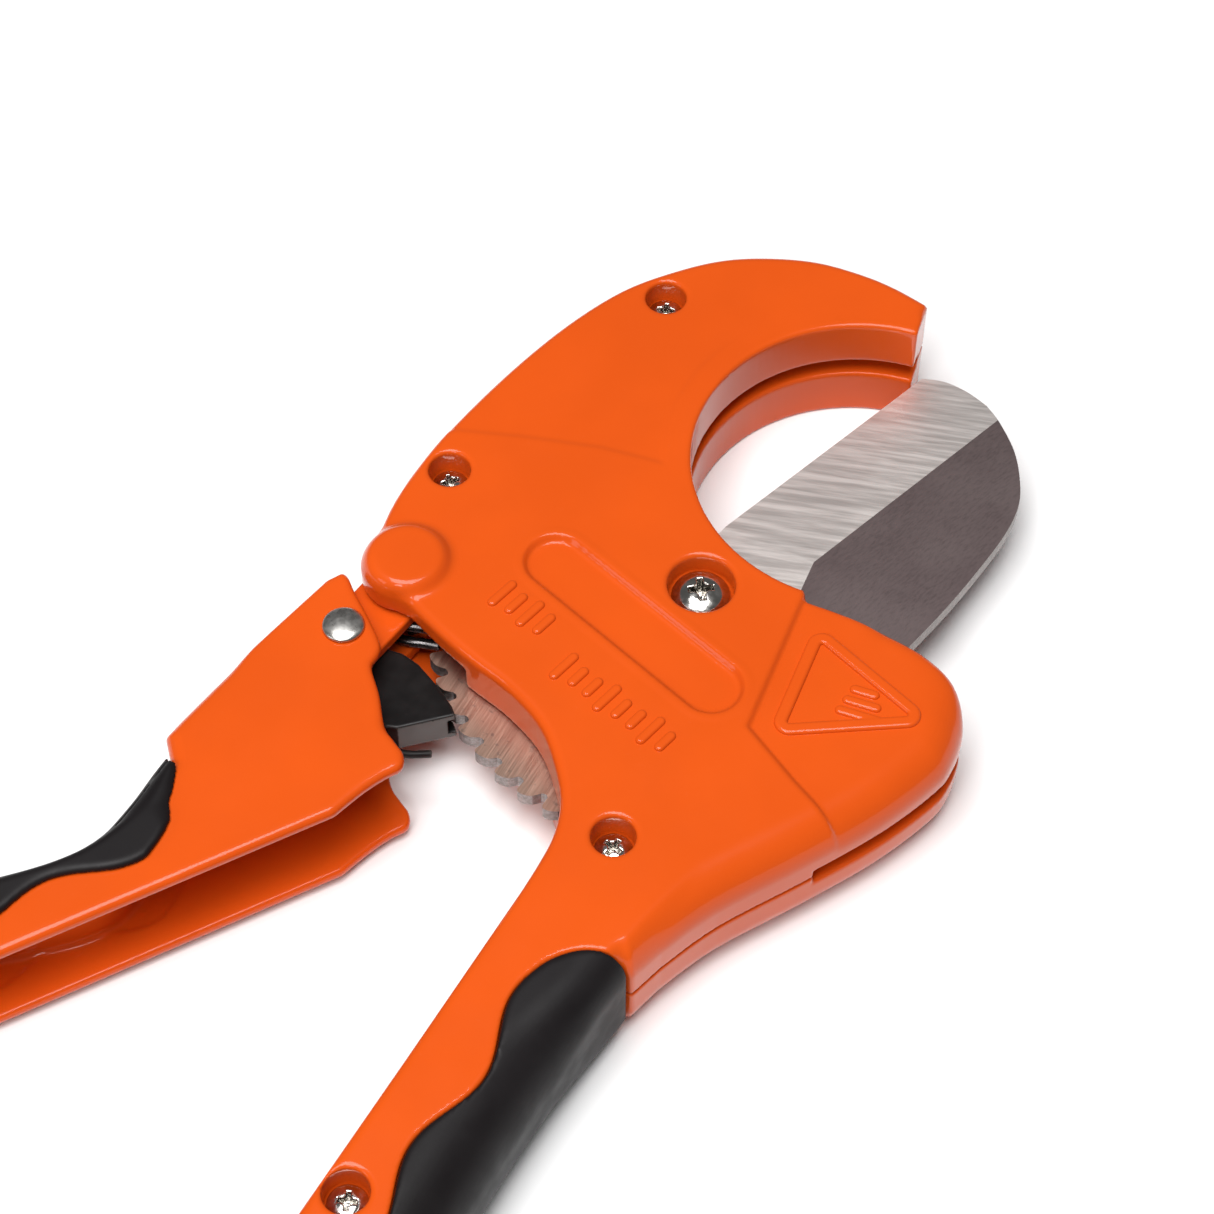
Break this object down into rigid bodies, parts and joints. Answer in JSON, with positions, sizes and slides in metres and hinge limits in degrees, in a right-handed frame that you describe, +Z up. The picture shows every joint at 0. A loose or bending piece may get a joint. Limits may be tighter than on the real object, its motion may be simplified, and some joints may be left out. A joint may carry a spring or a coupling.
{
  "type": "pvc pipe cutter",
  "caption": "Ratchet cutter for plastic pipe: C-shaped jaw, swinging blade with ratchet teeth, orange cast body, squeezed channel handle and black grips.",
  "frame": {"origin": "middle of the plan, on the surface that the tool lies on", "axes": "+X from the fixed handle to the jaw, +Y towards the moving handle, +Z up through the body, parallel to every hinge"},
  "size_m": [0.3498, 0.2114, 0.0285],
  "materials": {
    "orange_paint": "glossy orange paint on cast aluminium, soft cast edges",
    "grip_rubber": "satin black soft grip",
    "blade_steel": "ground steel, brushed across the bevel, dark warm grey on the flat",
    "black_oxide": "black oxide, lightly oiled",
    "nickel": "bright nickel plate",
    "bronze": "turned bronze"
  },
  "bodies": {
    "frame": {"front_shell": "orange_paint", "rear_shell": "orange_paint", "fixed_handle_grip": "grip_rubber", "link_pin": "nickel", "hook_screw": "nickel", "top_screw": "nickel", "neck_screw": "nickel", "handle_screw": "nickel", "handle_end_screw": "nickel", "blade_pivot_screw": "nickel", "blade_pivot_nut": "nickel", "blade_pivot_bush": "bronze", "pivot_washer_front": "nickel", "pivot_washer_rear": "nickel"},
    "blade": {"blade": "blade_steel"},
    "link": {"link": "orange_paint", "handle_rivet": "nickel", "rivet_washer_front": "nickel", "rivet_washer_rear": "nickel", "return_spring_front": "black_oxide", "return_spring_rear": "black_oxide"},
    "moving_handle": {"moving_handle": "orange_paint", "moving_handle_grip": "grip_rubber"},
    "drive_pawl": {"drive_pawl": "black_oxide", "pawl_spring": "black_oxide"},
    "holding_pawl": {"holding_pawl": "black_oxide", "holding_pawl_spring": "black_oxide"}
  },
  "joints": [
    {"name": "blade_swing", "type": "hinge", "parent": "frame", "child": "blade", "pos_m": [0.09112, -0.04955, 0.013], "axis": [0, 0, 1], "range_deg": [-80, 30]},
    {"name": "handle_squeeze", "type": "hinge", "parent": "frame", "child": "link", "pos_m": [0.06842, 0.00075, 0.013], "axis": [0, 0, 1], "range_deg": [0, 26], "stiffness_Nm_per_rad": 1.5, "springref_deg": -5.73},
    {"name": "handle_release", "type": "hinge", "parent": "link", "child": "moving_handle", "pos_m": [0.05042, 0.00265, 0.013], "axis": [0, 0, 1], "range_deg": [-12, 0], "stiffness_Nm_per_rad": 1, "springref_deg": 2.86},
    {"name": "drive_pawl_swing", "type": "hinge", "parent": "link", "child": "drive_pawl", "pos_m": [0.05042, 0.00265, 0.013], "axis": [0, 0, 1], "range_deg": [-36.4, 0]},
    {"name": "holding_pawl_lift", "type": "hinge", "parent": "frame", "child": "holding_pawl", "pos_m": [0.03583, -0.06265, 0.013], "axis": [0, 0, 1], "range_deg": [-4, 0], "stiffness_Nm_per_rad": 0.02, "springref_deg": 2.86}
  ],
  "couplings": [
    {"joint": "drive_pawl_swing", "follows": "handle_squeeze", "ratio": -1.4}
  ]
}
